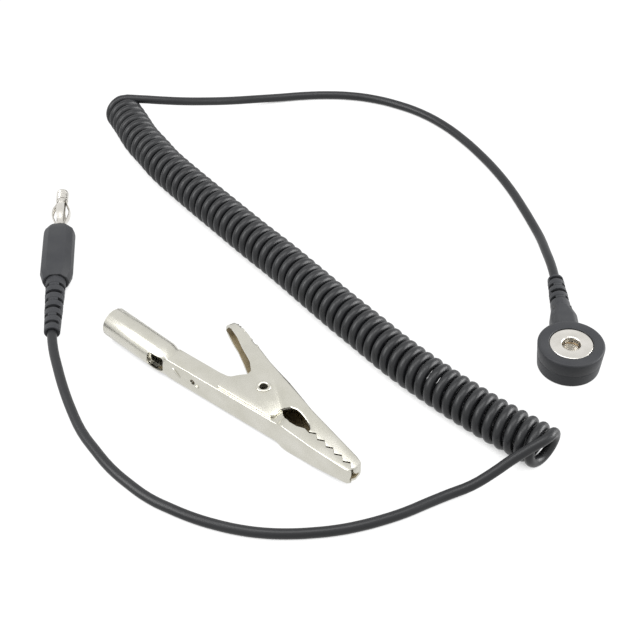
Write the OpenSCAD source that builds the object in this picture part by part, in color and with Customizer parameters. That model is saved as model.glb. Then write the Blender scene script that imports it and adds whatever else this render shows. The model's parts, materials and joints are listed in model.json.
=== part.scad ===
// Coiled grounding cord with a snap socket end, a banana plug end and a loose alligator clip.
// Millimetres. Origin: centre of the flat back of the snap head. +Z up, off the surface it lies on.

/* [Snap end] */
// Diameter of the moulded snap head
head_d = 15.4; // [14.8:0.2:20]
// Height of the moulded snap head
head_h = 7.0; // [6.8:0.1:9]
// Diameter of the metal disc of the snap socket
disc_d = 10; // [8.8:0.2:11.6]
// Diameter of the hole that takes the wrist band's stud
stud_hole_d = 4.2; // [3.6:0.1:4.6]
// Width of the moulded neck between head and strain relief
neck_w = 6.4; // [5.8:0.1:8]
// Distance from the head's centre to the end of the neck
neck_end = 15; // [15:0.5:22]
// Length of the ribbed strain relief behind the neck
snap_relief_l = 11.5; // [9:0.5:18]

/* [Banana plug] */
// Length of the moulded grip
grip_l = 20.6; // [18:0.2:30]
// Width of the moulded grip
grip_w = 8.1; // [7.2:0.1:11]
// Height of the moulded grip as it lies
grip_h = 6.4; // [6.2:0.1:9]
// Length of the ribbed strain relief outside the grip
plug_relief_l = 18.2; // [14:0.2:24]
// Length of the pin's bare collar between grip and spring cage
collar_l = 1.2; // [0.6:0.1:4]
// Length of the spring cage
cage_l = 10.6; // [8:0.2:14]
// Diameter of the spring cage at its widest, unloaded
cage_d = 4.9; // [4.1:0.1:5.4]
// Length of the nose in front of the cage
nose_l = 3.8; // [3:0.1:6]
// Diameter of the nose
nose_d = 3.1; // [2.8:0.1:3.6]

/* [Cord] */
// Diameter of the cord over its jacket
cord_d = 2.3; // [1.9:0.1:2.4]
// Diameter of the coiled stretch over its turns
coil_od = 10.1; // [8.4:0.1:11]

/* [Alligator clip] */
// Width of the clip over the plates of its upper jaw
clip_w = 7.0; // [6.6:0.1:8.4]
// Thickness of the clip's sheet metal
sheet_t = 0.6; // [0.5:0.05:0.7]
// Outer diameter of the barrel that takes the plug
barrel_d = 7.3; // [6.4:0.1:7.4]
// Bore of the barrel
barrel_bore_d = 4.4; // [4.2:0.05:4.6]
// Length of the barrel behind the jaw's channel
barrel_l = 15; // [10:0.5:20]
// Outer diameter of the tubular rivet's shank
rivet_d = 2.6; // [2.2:0.1:2.8]
// Distance from one tooth to the next
tooth_pitch = 2.6; // [2.2:0.05:2.8]

/* [Fits] */
// Radial clearance of a part that turns on another
running_gap = 0.05; // [0.02:0.01:0.09]
// Gap between a moulding and what is set in it
mould_gap = 0.05; // [0.02:0.01:0.08]
// Gap between the ears of the two jaws
ear_gap = 0.1; // [0.05:0.01:0.2]

/* [Hidden] */
$fn = 48;
eps = 0.01;

cord_r = cord_d / 2;
nickel = [0.78, 0.77, 0.72];
brass = [0.82, 0.70, 0.42];
charcoal = [0.30, 0.30, 0.31];
black_pvc = [0.26, 0.26, 0.27];

// ---------- snap end ----------
head_edge_r = 0.6;
head_draft = 0.5;
back_wall = 1.3;
disc_t = 0.5;
disc_sink = 0.2;
disc_top_z = head_h - disc_sink;
disc_ledge_z = disc_top_z - disc_t;
stud_hole_r = stud_hole_d / 2;
mouth_l = 1.5;
chamber_wall = 0.35;
chamber_r = stud_hole_r + 0.8;
cup_r = chamber_r + chamber_wall;
cup_floor_z = 2.3;
cup_floor_t = 0.4;
chamber_floor_z = cup_floor_z + cup_floor_t;
chamber_top_z = disc_top_z - mouth_l;
spring_wire_d = 0.5;
spring_bite = 0.12;
spring_leg_x = stud_hole_r - spring_bite + spring_wire_d / 2;
spring_ring_r = chamber_r - spring_wire_d / 2 - 0.05;
spring_z = chamber_top_z - spring_wire_d;
eyelet_shank_r = 0.8;
eyelet_hole_r = 0.45;
eyelet_head_r = 1.5;
eyelet_head_t = 0.35;
terminal_t = 0.4;
terminal_r = 2.2;
terminal_tail_w = 1.6;
terminal_tail_end = cup_r + 2.2;
terminal_z = cup_floor_z - terminal_t;
neck_axis_z = 3.4;
neck_h = 5.6;
neck_z = neck_axis_z - neck_h / 2;
neck_chamfer = 1.1;
neck_taper_l = 3;
relief_bore_r = cord_r + mould_gap;
ferrule_wall = 0.25;
ferrule_r = relief_bore_r + ferrule_wall;
tray_wall = 0.65;
tray_in_w = 2 * (ferrule_r + mould_gap);
tray_w = tray_in_w + 2 * tray_wall;
tray_floor_z = 1.5;
tray_floor_t = terminal_z - tray_floor_z - mould_gap;
tray_top_z = 5.3;
tray_start = cup_r + 4 * mould_gap;
tray_end = neck_end - 0.2;
resistor_l = 5.4;
resistor_r = 1.1;
resistor_lead_r = 0.28;
resistor_start = tray_start + 2.3;
resistor_end = resistor_start + resistor_l;
lead_tail_l = 1;
splice_l = 1.1;
splice_r = 0.7;
conductor_r = 0.45;
splice_start = resistor_end + 0.4;
snap_jacket_start = resistor_end + lead_tail_l + 0.9;
snap_ferrule_l = 1.6;
snap_exit = neck_end + snap_relief_l;

// ---------- strain relief ribs ----------
relief_root_r = 2.45;
relief_tip_r = 1.9;
rib_groove_w = 1;
rib_floor_r = cord_r + 0.4;
rib_bridge_w = 1.5;
snap_rib_pitch = 2.4;
snap_first_rib = 1.3;
plug_rib_pitch = 2.65;
plug_first_rib = 2.1;

// ---------- banana plug, measured along its axis from the cord's exit ----------
plug_exit = [-119.7, 7.5];
plug_heading = 95.2;
plug_axis_z = grip_h / 2;
grip_start = plug_relief_l;
grip_end = grip_start + grip_l;
grip_flat_inset = 1.9;
grip_side_draft = 0.45;
grip_shoulder_drop = 1.3;
grip_rear_taper = 3;
grip_rear_scale = 0.8;
grip_front_taper = 1.9;
grip_front_scale = 0.93;
grip_nose_l = 1.4;
grip_nose_scale = 0.78;
core_wall = 0.36;
core_r = grip_rear_scale * grip_h / 2 - core_wall;
tongue_l = 2.2;
grip_front_wall = 1.8;
core_end = grip_end - grip_front_wall;
pin_flange_r = 1.7;
collar_r = 1.4;
collar_end = grip_end + collar_l;
pin_neck_r = 1.05;
pin_shank_r = 1.2;
solder_cup_r = 0.7;
solder_cup_depth = 2.5;
pin_rear = core_end - 7.8;
cage_wall = 0.25;
cage_end_gap = 0.1;
cage_start = collar_end + cage_end_gap;
cage_end = cage_start + cage_l;
cage_ring_l = 0.9;
cage_leaf_w = 1.75;
cage_leaves = 4;
nose_start = cage_end + cage_end_gap;
plug_l = nose_start + nose_l;
nose_r = nose_d / 2;
nose_tip_r = 0.7;
plug_jacket_end = pin_rear - 4.4;
plug_ferrule_start = grip_start + tongue_l + 0.3;
plug_ferrule_l = plug_jacket_end - 0.4 - plug_ferrule_start;

// ---------- alligator clip, in its own frame: rivet at 0,0, jaws towards +X ----------
clip_pos = [-69.6, -14.3];
clip_heading = -38.5;
rivet_head_t = 0.2;
rivet_play = 0.05;
rivet_seat_gap = 0.02;
clip_mid_z = max(clip_w / 2 + rivet_head_t + rivet_play, barrel_d / 2 + rivet_play);
upper_half = clip_w / 2;
lower_half = upper_half - sheet_t - ear_gap;
rivet_r = rivet_d / 2;
rivet_hole_r = rivet_r - 0.35;
rivet_head_r = rivet_r + 0.4;
tip_half = 2.0;
tip_u = 29.4;
floor_v = -6.5;
side_v = -2.1;
channel_start = -29.2;
barrel_lap = 3.4;
barrel_start = [channel_start, -3.75];
barrel_tilt = 4.3;
seam_w = 0.4;
flare_start = 8.5;
flare_end = 10.8;
tooth_rows = 5;
tooth_h = 0.9;
tooth_line_start = [16.1, -3.6];
tooth_slope = -8;
tooth_gap = 0.12;
lower_ear_r = 3.4;
lock_slot = [4.6, 3.4];
lock_slot_lag = 0.6;
wire_hole_r = 0.6;
wire_hole_at = [-15.4, 0.4];
spring_d = 0.6;
spring_mean_r = rivet_r + 0.3 + spring_d / 2;
spring_pitch = spring_d + 0.1;
spring_turns = 3;
spring_leg_angle = 60;

// ---------- routes of the cord: x, y, height of its centre ----------
coil_axis_z = coil_od / 2;
coil_turn_r = (coil_od - cord_d) / 2;
coil_top_z = coil_axis_z + coil_turn_r;

coil_axis = [
    [-112.5, 97.5], [-109.5, 91.5], [-106, 84], [-102, 77.5], [-98, 71], [-90, 60.5],
    [-82, 50.5], [-74, 40.5], [-66.5, 31.5], [-59.5, 22.5], [-52.5, 13.5], [-46, 5.5],
    [-39.5, -2.5], [-33, -9.5], [-26.5, -16], [-20, -22], [-13.7, -27.2], [-9.1, -31]
];

snap_route = [
    [0, 33, 3.1], [-0.5, 39, 2.3], [-1.2, 45, 1.5], [-2.5, 51.5, cord_r], [-4.3, 58.5, cord_r],
    [-6.5, 66, cord_r], [-9.5, 74, cord_r], [-13, 81.5, cord_r], [-17.5, 89.5, cord_r],
    [-22.5, 96.5, cord_r], [-28.5, 102.5, cord_r], [-34.5, 106.5, cord_r], [-41, 109.5, cord_r],
    [-48, 111.3, cord_r], [-55, 111.8, cord_r], [-62, 111.4, cord_r], [-69, 110.2, 1.3],
    [-75.5, 108.5, 1.9], [-82.5, 106, 3], [-89, 103.2, 4.6], [-95.5, 100.6, 6.3],
    [-102, 98.8, 7.8], [-107.5, 98, 8.7], [-112.5, 97.5, coil_top_z]
];

plug_route = [
    [-118.6, 2, 3.1], [-116.9, -3.6, 2.7], [-114.8, -9.7, 2.1], [-112.3, -15.8, 1.5], [-109.3, -22, cord_r],
    [-105.6, -27.6, cord_r], [-101.8, -32.7, cord_r], [-97.3, -37.3, cord_r], [-92.7, -41.2, cord_r],
    [-88, -44, cord_r], [-83, -46.5, cord_r], [-78.5, -48.2, cord_r], [-73.5, -49.6, cord_r],
    [-68.5, -50.4, cord_r], [-63.5, -50.6, cord_r], [-58.5, -50.3, cord_r], [-53.5, -49.6, cord_r],
    [-49, -48.5, cord_r], [-44.5, -47, cord_r], [-39.5, -44.9, cord_r], [-35, -42.5, cord_r],
    [-30.3, -40.2, 1.3], [-25.5, -38.4, 2], [-21, -36.4, 3.7], [-17, -34.3, 5.9],
    [-13.4, -32.7, 8], [-10, -30.5, coil_top_z]
];

// ---------- helpers ----------

// Points of an arc from angle a0 to a1 about centre c
function arc(c, r, a0, a1, steps = 8) =
    [for (i = [0 : steps]) let (a = a0 + (a1 - a0) * i / steps) c + r * [cos(a), sin(a)]];

// Points in the opposite order
function reversed(p) = [for (i = [len(p) - 1 : -1 : 0]) p[i]];

// Unit direction of a route at one of its points
function direction(p, i) =
    let (d = p[min(i + 1, len(p) - 1)] - p[max(i - 1, 0)]) d / norm(d);

// Frame across a route that keeps its first axis level
function level_axis(t) = let (s = cross([0, 0, 1], t)) s / norm(s);

// Closed tube of radius r swept along the points p
module tube(p, r, sides) {
    rings = [
        for (i = [0 : len(p) - 1])
            let (t = direction(p, i), s = level_axis(t), n = cross(t, s))
            for (k = [0 : sides - 1])
                p[i] + r * (cos(360 * k / sides) * s + sin(360 * k / sides) * n)
    ];
    sides_faces = [
        for (i = [0 : len(p) - 2], k = [0 : sides - 1])
            let (a = i * sides + k, b = i * sides + (k + 1) % sides)
            [a, a + sides, b + sides, b]
    ];
    start_face = [for (k = [0 : sides - 1]) k];
    end_face = [for (k = [sides - 1 : -1 : 0]) (len(p) - 1) * sides + k];
    polyhedron(points = rings, faces = concat([start_face], sides_faces, [end_face]), convexity = 10);
}

// Outline of a rectangle with chamfered corners, centred
module chamfered_rectangle(w, h, c) {
    polygon([
        [-w / 2 + c, -h / 2], [w / 2 - c, -h / 2], [w / 2, -h / 2 + c], [w / 2, h / 2 - c],
        [w / 2 - c, h / 2], [-w / 2 + c, h / 2], [-w / 2, h / 2 - c], [-w / 2, -h / 2 + c]
    ]);
}

// One broken groove round a strain relief at height z: two arcs with a bridge between them
module relief_groove(z, across) {
    translate([0, 0, z - rib_groove_w / 2])
        difference() {
            cylinder(r = relief_root_r + 1, h = rib_groove_w);
            translate([0, 0, -eps])
                cylinder(r = rib_floor_r, h = rib_groove_w + 2 * eps);
            translate([0, 0, rib_groove_w / 2])
                cube(across ? [rib_bridge_w, 20, 2] : [20, rib_bridge_w, 2], center = true);
        }
}

// Ribbed cone of a strain relief from its tip at 0 to its root at length l
module ribbed_relief(l, first, pitch) {
    last = floor((l - first - rib_groove_w) / pitch);
    difference() {
        cylinder(r1 = relief_tip_r, r2 = relief_root_r, h = l);
        for (i = [0 : last])
            relief_groove(first + i * pitch, i % 2 == 1);
    }
}

// Places children made along +Z onto the snap end's axis, at distance y from the head
module on_neck(y) {
    translate([0, y, neck_axis_z])
        rotate([-90, 0, 0])
            children();
}

// Places children made along +Z onto the plug's axis as it lies
module on_plug() {
    translate([plug_exit.x, plug_exit.y, plug_axis_z])
        rotate([0, 90, plug_heading])
            children();
}

// Places children made in the clip's own frame
module on_clip() {
    translate([clip_pos.x, clip_pos.y, clip_mid_z])
        rotate([0, 0, clip_heading])
            children();
}

// Point on the plug's axis at distance s from the cord's exit
function plug_point(s) =
    [plug_exit.x + s * cos(plug_heading), plug_exit.y + s * sin(plug_heading), plug_axis_z];

// ---------- snap end ----------

module head_outline() {
    r = head_d / 2;
    polygon(concat(
        [[0, 0], [r - head_draft - head_edge_r, 0]],
        arc([r - head_draft - head_edge_r, head_edge_r], head_edge_r, -90, 0, 4),
        arc([r - head_edge_r, head_h - head_edge_r], head_edge_r, 0, 90, 4),
        [[0, head_h]]
    ));
}

module neck_body() {
    on_neck(0)
        linear_extrude(height = neck_end - neck_taper_l)
            chamfered_rectangle(neck_w, neck_h, neck_chamfer);
    on_neck(neck_end - neck_taper_l - eps)
        linear_extrude(height = neck_taper_l + eps, scale = 2 * relief_root_r / neck_w)
            chamfered_rectangle(neck_w, neck_h, neck_chamfer);
}

module snap_overmould() {
    color(charcoal)
        difference() {
            union() {
                rotate_extrude($fn = 96)
                    head_outline();
                neck_body();
                on_neck(snap_exit)
                    mirror([0, 0, 1])
                        ribbed_relief(snap_relief_l, snap_first_rib, snap_rib_pitch);
            }
            translate([0, 0, back_wall])
                cylinder(r = cup_r + mould_gap, h = head_h);
            translate([0, 0, disc_ledge_z])
                cylinder(r = disc_d / 2 + mould_gap, h = head_h);
            translate([-tray_w / 2 - mould_gap, 0, tray_floor_z - mould_gap])
                cube([tray_w + 2 * mould_gap, tray_end + mould_gap, tray_top_z - tray_floor_z + 2 * mould_gap]);
            on_neck(tray_end)
                cylinder(r = relief_bore_r, h = snap_exit);
        }
}

module snap_inner_tray() {
    color(black_pvc)
        translate([0, tray_start, tray_floor_z])
            difference() {
                translate([-tray_w / 2, 0, 0])
                    cube([tray_w, tray_end - tray_start, tray_top_z - tray_floor_z]);
                translate([-tray_in_w / 2, -eps, tray_floor_t])
                    cube([tray_in_w, tray_end - tray_start + 2 * eps, tray_top_z]);
            }
}

module snap_socket() {
    rim_w = 0.45;
    dish = 0.12;
    mouth_ring_r = stud_hole_r + 0.75;
    color(nickel)
        rotate_extrude($fn = 96)
            polygon([
                [eyelet_shank_r + mould_gap, cup_floor_z], [cup_r, cup_floor_z], [cup_r, disc_ledge_z],
                [disc_d / 2, disc_ledge_z], [disc_d / 2, disc_top_z], [disc_d / 2 - rim_w, disc_top_z],
                [disc_d / 2 - 2 * rim_w, disc_top_z - dish], [mouth_ring_r + 0.3, disc_top_z - dish],
                [mouth_ring_r, disc_top_z], [stud_hole_r, disc_top_z], [stud_hole_r, chamber_top_z],
                [chamber_r, chamber_top_z], [chamber_r, chamber_floor_z],
                [eyelet_shank_r + mould_gap, chamber_floor_z]
            ]);
}

// Wire spring in the socket: two straight legs that grip the stud, joined by round ends
module snap_spring() {
    leg_half = sqrt(spring_ring_r * spring_ring_r - spring_leg_x * spring_leg_x);
    leg_angle = acos(spring_leg_x / spring_ring_r);
    color(brass)
        translate([0, 0, spring_z])
            union() {
                for (side = [-1, 1])
                    translate([side * spring_leg_x, 0, 0])
                        rotate([90, 0, 0])
                            cylinder(d = spring_wire_d, h = 2 * leg_half, center = true, $fn = 24);
                for (turn = [0, 180])
                    rotate([0, 0, turn + leg_angle])
                        rotate_extrude(angle = 180 - 2 * leg_angle, $fn = 64)
                            translate([spring_ring_r, 0])
                                circle(d = spring_wire_d, $fn = 24);
            }
}

// Tubular rivet that holds the terminal under the socket
module snap_eyelet() {
    bottom_z = terminal_z - eyelet_head_t;
    color(nickel)
        rotate_extrude()
            polygon([
                [eyelet_hole_r, bottom_z], [eyelet_head_r, bottom_z], [eyelet_head_r, terminal_z],
                [eyelet_shank_r, terminal_z], [eyelet_shank_r, chamber_floor_z],
                [eyelet_head_r, chamber_floor_z], [eyelet_head_r - 0.3, chamber_floor_z + eyelet_head_t],
                [eyelet_hole_r, chamber_floor_z + eyelet_head_t]
            ]);
}

module snap_terminal() {
    color(brass)
        translate([0, 0, terminal_z])
            difference() {
                union() {
                    cylinder(r = terminal_r, h = terminal_t);
                    translate([-terminal_tail_w / 2, 0, 0])
                        cube([terminal_tail_w, terminal_tail_end, terminal_t]);
                }
                translate([0, 0, -eps])
                    cylinder(r = eyelet_shank_r + mould_gap, h = terminal_t + 2 * eps);
            }
}

module snap_resistor() {
    color([0.78, 0.66, 0.48])
        on_neck(resistor_start)
            rotate_extrude()
                polygon([
                    [0, 0], [resistor_r - 0.3, 0], [resistor_r, 0.3], [resistor_r, 1.2],
                    [resistor_r - 0.15, 1.5], [resistor_r - 0.15, resistor_l - 1.5],
                    [resistor_r, resistor_l - 1.2], [resistor_r, resistor_l - 0.3],
                    [resistor_r - 0.3, resistor_l], [0, resistor_l]
                ]);
}

// Two leads of the resistor: one cranked down onto the terminal, one straight to the splice
module snap_resistor_leads() {
    tail_z = cup_floor_z + resistor_lead_r;
    color(nickel) {
        tube([
            [0, cup_r + 0.5, tail_z], [0, cup_r + 1.5, tail_z], [0, resistor_start - 0.6, neck_axis_z],
            [0, resistor_start, neck_axis_z]
        ], resistor_lead_r, 8);
        on_neck(resistor_end)
            cylinder(r = resistor_lead_r, h = lead_tail_l);
    }
}

module snap_splice() {
    color(nickel)
        on_neck(splice_start)
            difference() {
                cylinder(r = splice_r, h = splice_l);
                translate([0, 0, -eps])
                    cylinder(r = conductor_r + mould_gap, h = splice_l + 2 * eps);
            }
}

// Ferrule crimped over the end of the cord's jacket
module jacket_ferrule(l) {
    difference() {
        cylinder(r = ferrule_r, h = l);
        translate([0, 0, -eps])
            cylinder(r = relief_bore_r, h = l + 2 * eps);
    }
}

module snap_ferrule() {
    color(nickel)
        on_neck(snap_jacket_start + 0.2)
            jacket_ferrule(snap_ferrule_l);
}

module snap_conductor() {
    color(brass)
        on_neck(resistor_end + lead_tail_l)
            cylinder(r = conductor_r, h = snap_jacket_start - resistor_end - lead_tail_l);
}

// ---------- cord ----------

module cord_snap_lead() {
    color(black_pvc)
        tube(concat([[0, snap_jacket_start, neck_axis_z], [0, snap_exit, neck_axis_z]], snap_route), cord_r, 8);
}

module cord_coil() {
    color(black_pvc)
        tube([for (p = coil_axis) [p.x, p.y, coil_axis_z]], coil_od / 2, 16);
}

module cord_plug_lead() {
    color(black_pvc)
        tube(concat([plug_point(plug_jacket_end), plug_point(0)], plug_route), cord_r, 8);
}

// ---------- banana plug ----------

module plug_strain_relief() {
    color(charcoal)
        on_plug()
            difference() {
                union() {
                    rotate([0, 0, 90])
                        ribbed_relief(plug_relief_l, plug_first_rib, plug_rib_pitch);
                    translate([0, 0, plug_relief_l - eps])
                        cylinder(r = core_r - mould_gap, h = tongue_l + eps);
                }
                translate([0, 0, -eps])
                    cylinder(r = relief_bore_r, h = plug_relief_l + tongue_l + 2 * eps);
            }
}

// Section of the grip, height along X: flats above and below, sides that draft away from the parting line
module grip_section() {
    w = grip_w / 2;
    h = grip_h / 2;
    quarter = [[h, w - grip_flat_inset], [h - grip_shoulder_drop, w - grip_side_draft]];
    half = concat(quarter, [[0, w]], [for (p = reversed(quarter)) [-p.x, p.y]]);
    polygon(concat(half, [for (p = reversed(half)) [p.x, -p.y]]));
}

// Stretch of the grip over length l, tapered towards its far end
module grip_taper(l, end_scale) {
    linear_extrude(height = l, scale = end_scale)
        grip_section();
}

module plug_grip() {
    body_start = grip_start + grip_rear_taper;
    nose_root = grip_end - grip_nose_l;
    body_end = nose_root - grip_front_taper;
    color(charcoal)
        on_plug()
            difference() {
                union() {
                    translate([0, 0, body_start])
                        mirror([0, 0, 1])
                            grip_taper(grip_rear_taper, grip_rear_scale);
                    translate([0, 0, body_start - eps])
                        linear_extrude(height = body_end - body_start + 2 * eps)
                            grip_section();
                    translate([0, 0, body_end])
                        grip_taper(grip_front_taper, grip_front_scale);
                    translate([0, 0, nose_root - eps])
                        scale(grip_front_scale)
                            grip_taper((grip_nose_l + eps) / grip_front_scale, grip_nose_scale);
                }
                translate([0, 0, grip_start - eps])
                    cylinder(r = core_r, h = core_end - grip_start + eps);
                translate([0, 0, core_end - eps])
                    cylinder(r = pin_flange_r + mould_gap, h = grip_front_wall + 1);
            }
}

module plug_inner_mould() {
    start = grip_start + tongue_l;
    color(black_pvc)
        on_plug()
            difference() {
                translate([0, 0, start])
                    cylinder(r = core_r - mould_gap, h = core_end - start);
                translate([0, 0, start - eps])
                    cylinder(r = ferrule_r + mould_gap, h = plug_jacket_end - start + 0.5);
                translate([0, 0, start])
                    cylinder(r = conductor_r + mould_gap, h = core_end - start);
                translate([0, 0, pin_rear - mould_gap])
                    cylinder(r = pin_shank_r + mould_gap, h = core_end);
            }
}

module plug_ferrule() {
    color(nickel)
        on_plug()
            translate([0, 0, plug_ferrule_start])
                jacket_ferrule(plug_ferrule_l);
}

module plug_conductor() {
    color(brass)
        on_plug()
            translate([0, 0, plug_jacket_end])
                cylinder(r = conductor_r, h = pin_rear + solder_cup_depth - 0.3 - plug_jacket_end);
}

module plug_pin() {
    color(nickel)
        on_plug()
            difference() {
                rotate_extrude()
                    polygon(concat(
                        [
                            [0, pin_rear], [pin_shank_r, pin_rear], [pin_shank_r, core_end],
                            [pin_flange_r, core_end], [pin_flange_r, grip_end], [collar_r, grip_end],
                            [collar_r, collar_end], [pin_neck_r, collar_end], [pin_neck_r, nose_start],
                            [nose_r, nose_start]
                        ],
                        arc([nose_r - nose_tip_r, plug_l - nose_tip_r], nose_tip_r, 0, 90, 4),
                        [[0, plug_l]]
                    ));
                translate([0, 0, pin_rear - eps])
                    cylinder(r = solder_cup_r, h = solder_cup_depth + eps);
            }
}

// Bowed sheet cage of four leaves between two end rings, free to turn on the pin's neck
module plug_spring_cage() {
    ring_r = pin_neck_r + running_gap + cage_wall;
    bow_l = cage_l - 2 * cage_ring_l;
    steps = 12;
    bow = [
        for (i = [0 : steps])
            [ring_r + (cage_d / 2 - ring_r) * pow(sin(180 * i / steps), 1.3), cage_ring_l + bow_l * i / steps]
    ];
    color(nickel)
        on_plug()
            translate([0, 0, cage_start])
                intersection() {
                    rotate_extrude()
                        polygon(concat(
                            [[ring_r - cage_wall, 0], [ring_r, 0]], bow, [[ring_r, cage_l], [ring_r - cage_wall, cage_l]],
                            [for (i = [steps : -1 : 0]) bow[i] - [cage_wall, 0]]
                        ));
                    union() {
                        cylinder(r = cage_d, h = cage_ring_l);
                        translate([0, 0, cage_l - cage_ring_l])
                            cylinder(r = cage_d, h = cage_ring_l);
                        for (i = [0 : cage_leaves - 1])
                            rotate([0, 0, i * 360 / cage_leaves])
                                translate([0, -cage_leaf_w / 2, 0])
                                    cube([cage_d, cage_leaf_w, cage_l]);
                    }
                }
}

// ---------- alligator clip ----------

// Zigzag of the teeth from the eye to the tip, moved across by shift
function tooth_line(shift) =
    let (along = [cos(tooth_slope), sin(tooth_slope)], across = [-sin(tooth_slope), cos(tooth_slope)])
    [
        for (i = [0 : 2 * tooth_rows])
            tooth_line_start + along * i * tooth_pitch / 2
                + across * ((i % 2 == 0 ? -tooth_h / 2 : tooth_h / 2) + shift)
    ];

// Half width of a jaw at the distance u from the rivet, for a plate that is wide by half at the flare
function front_half(u, half) = half + (tip_half - half) * (u - flare_end) / (tip_u - flare_end);

// Prism of an outline over the jaw's whole width
module side_prism(points) {
    translate([0, 0, -clip_w])
        linear_extrude(height = 2 * clip_w)
            polygon(points);
}

// Prism of the plan outline given for the half above the middle plane
module plan_prism(half_points) {
    mirrored = [for (p = reversed(half_points)) [p.x, -p.y]];
    rotate([90, 0, 0])
        linear_extrude(height = 60, center = true)
            polygon(concat(half_points, mirrored));
}

// Eye behind the teeth, upper and lower edge
eye_top = [[15.9, -3.3], [15, -2.5], [13.8, -1.9], [12.6, -1.4], [11.4, -1], [10.2, -0.8], [8.6, -1.1], [7.8, -2]];
eye_bottom = [[7.9, -3], [9.4, -4], [11.2, -4.6], [13, -4.5], [14.6, -3.9]];

// Ridge of the upper jaw from the tip to the end of the thumb tab
ridge = [[29.2, -3], [27.8, -2.4], [12.4, 1.5], [4, 4.4], [-4, 7.2], [-9.4, 9.4], [-15.4, 11.9], [-19.9, 13.3]];

// Skirt of the upper jaw, which straddles the channel of the lower jaw, from the eye to the thumb tab
skirt = [
    [7.4, -3], [7.4, -5.2], [6.8, -5.8], [-8.2, -5.8], [-8.8, -5.2], [-8.8, -4], [-7.9, -2.3],
    [-6.5, -0.4], [-5.3, 0.8], [-5.4, 2]
];

module clip_upper_jaw() {
    tab_edge = [[-6.4, 3.1], [-8, 4.6], [-10.4, 6], [-16, 9.5], [-19.5, 11.1], [-21.6, 11.9]];
    outline = concat(
        reversed(tooth_line(0)), eye_top, skirt, tab_edge, reversed(ridge), [[tip_u, -5]]
    );
    inner = concat(
        [for (p = ridge) p - [p.x > 28 ? sheet_t : 0, sheet_t * 1.08]],
        [[-25, 14], [-25, -12], [tip_u - sheet_t, -12]]
    );
    tab_round = arc([-16.9, 0], 1, 180, 90, 6);
    plan = concat(
        [for (p = tab_round) [-16.9 + (p.x + 16.9) * 4.9, p.y * upper_half]],
        [[flare_end, upper_half], [tip_u + 1, front_half(tip_u + 1, upper_half)]]
    );
    plan_inner = [
        [-30, upper_half - sheet_t], [flare_end, upper_half - sheet_t],
        [tip_u + 1, front_half(tip_u + 1, upper_half) - sheet_t]
    ];
    color(nickel)
        on_clip()
            difference() {
                intersection() {
                    side_prism(outline);
                    plan_prism(plan);
                }
                intersection() {
                    side_prism(inner);
                    plan_prism(plan_inner);
                }
                cylinder(r = rivet_r + running_gap, h = 2 * clip_w, center = true);
            }
}

// Clip barrel, along Z from its rear end, seam towards +Y
module on_barrel() {
    translate([barrel_start.x, barrel_start.y, 0])
        rotate([0, 0, -barrel_tilt])
            translate([-barrel_l, 0, 0])
                rotate([0, 90, 0])
                    children();
}

module clip_lower_jaw() {
    outline = concat(
        [[channel_start, floor_v], [9, floor_v], [12, floor_v - 0.4], [19.5, floor_v - 0.7], [28.4, floor_v - 0.6],
         [29, floor_v - 0.1], [28.9, -5.9]],
        reversed(tooth_line(-tooth_gap)), reversed(eye_bottom), [[6.6, -1.8]],
        arc([0, 0], lower_ear_r, -20, 150, 10),
        [[-5.6, 0.3], [-7.6, -1.2], [-9, -1.9], [-11, side_v], [channel_start, side_v]]
    );
    inner = [
        [channel_start - 1, floor_v + sheet_t], [9.2, floor_v + sheet_t], [12.2, floor_v - 0.4 + sheet_t],
        [19.5, floor_v - 0.7 + sheet_t], [28.4, floor_v - 0.6 + sheet_t], [28.4, 12], [channel_start - 1, 12]
    ];
    flare_half = front_half(flare_end, upper_half);
    plan = [
        [channel_start - 1, lower_half], [flare_start, lower_half], [flare_end, flare_half],
        [tip_u + 1, front_half(tip_u + 1, upper_half)]
    ];
    plan_inner = [for (p = plan) p - [0, sheet_t]];
    color(nickel)
        on_clip()
            difference() {
                union() {
                    difference() {
                        intersection() {
                            side_prism(outline);
                            plan_prism(plan);
                        }
                        intersection() {
                            side_prism(inner);
                            plan_prism(plan_inner);
                        }
                    }
                    on_barrel()
                        cylinder(d = barrel_d, h = barrel_l + barrel_lap);
                }
                on_barrel()
                    translate([0, 0, -1]) {
                        cylinder(d = barrel_bore_d, h = barrel_l + barrel_lap + 2);
                        translate([-seam_w / 2, 0, 0])
                            cube([seam_w, barrel_d, barrel_l + barrel_lap + 2]);
                    }
                translate([channel_start + lock_slot_lag, floor_v - 2, -lock_slot.y / 2])
                    cube([lock_slot.x, 4, lock_slot.y]);
                translate([wire_hole_at.x, floor_v, wire_hole_at.y])
                    rotate([90, 0, 0])
                        cylinder(r = wire_hole_r, h = 4, center = true);
                cylinder(r = rivet_r + rivet_seat_gap, h = 2 * clip_w, center = true);
            }
}

module clip_rivet() {
    half = clip_mid_z;
    head_z = half - rivet_head_t;
    color(nickel)
        on_clip()
            rotate_extrude()
                polygon([
                    [rivet_hole_r, -half], [rivet_head_r, -half], [rivet_head_r, -head_z], [rivet_r, -head_z],
                    [rivet_r, head_z], [rivet_head_r, head_z], [rivet_head_r, half], [rivet_hole_r, half]
                ]);
}

// Points of the torsion spring's coil between two angles, rising evenly
function spring_coil(a0, a1) =
    let (steps = ceil((a1 - a0) / 20))
    [
        for (i = [0 : steps])
            let (a = a0 + (a1 - a0) * i / steps)
            [
                spring_mean_r * cos(a), spring_mean_r * sin(a),
                spring_pitch * (a / 360 - spring_turns / 2)
            ]
    ];

// Leg's end, a length l straight on from angle a of the coil; forward is 1 or -1
function spring_leg(a, l, forward) =
    [
        spring_mean_r * cos(a) - forward * l * sin(a), spring_mean_r * sin(a) + forward * l * cos(a),
        spring_pitch * (a / 360 - spring_turns / 2)
    ];

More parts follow.
